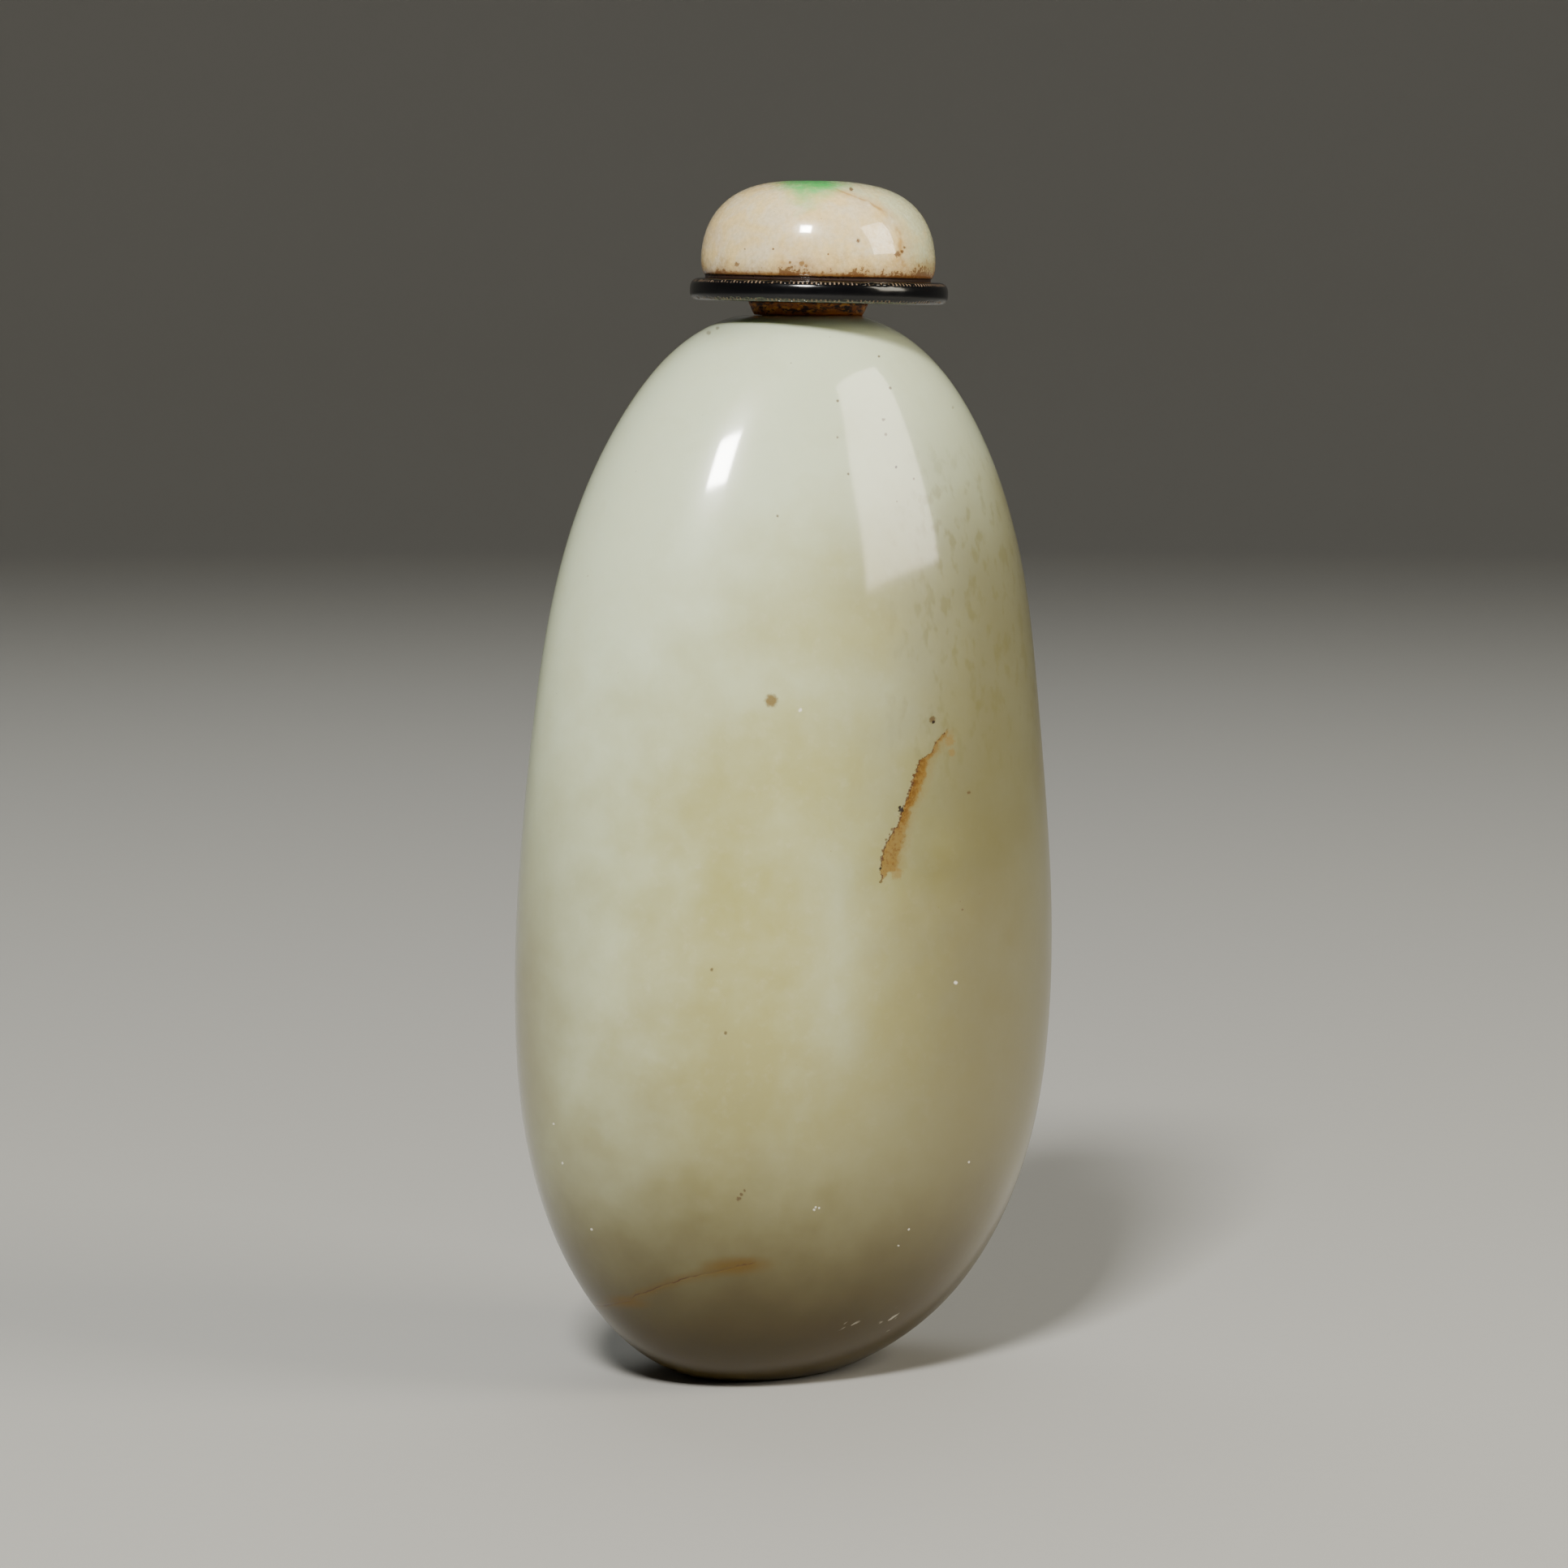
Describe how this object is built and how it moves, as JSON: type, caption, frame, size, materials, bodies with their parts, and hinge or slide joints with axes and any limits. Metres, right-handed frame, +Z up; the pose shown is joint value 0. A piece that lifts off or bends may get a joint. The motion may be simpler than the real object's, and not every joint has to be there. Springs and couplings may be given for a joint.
{
  "type": "snuff bottle",
  "caption": "Pebble-shaped hollow jade snuff bottle on a small flat foot, with a lift-out stopper: a domed jadeite cap and black collar on a cork.",
  "frame": {"origin": "centre of the flat foot, on the surface that the bottle stands on", "axes": "+Z up to the stopper, -Y the broad front with the russet fissure, +X to the right of that front, the side that the mouth leans to"},
  "size_m": [0.0353, 0.0243, 0.0735],
  "materials": {
    "pale_jade": "satin polish",
    "dark_cork": "matt, aged",
    "black_collar": "gloss polish",
    "cream_jadeite": "gloss polish"
  },
  "bodies": {
    "root": {"bottle": "pale_jade", "cork": "dark_cork", "collar": "black_collar", "cap": "cream_jadeite"}
  },
  "joints": []
}
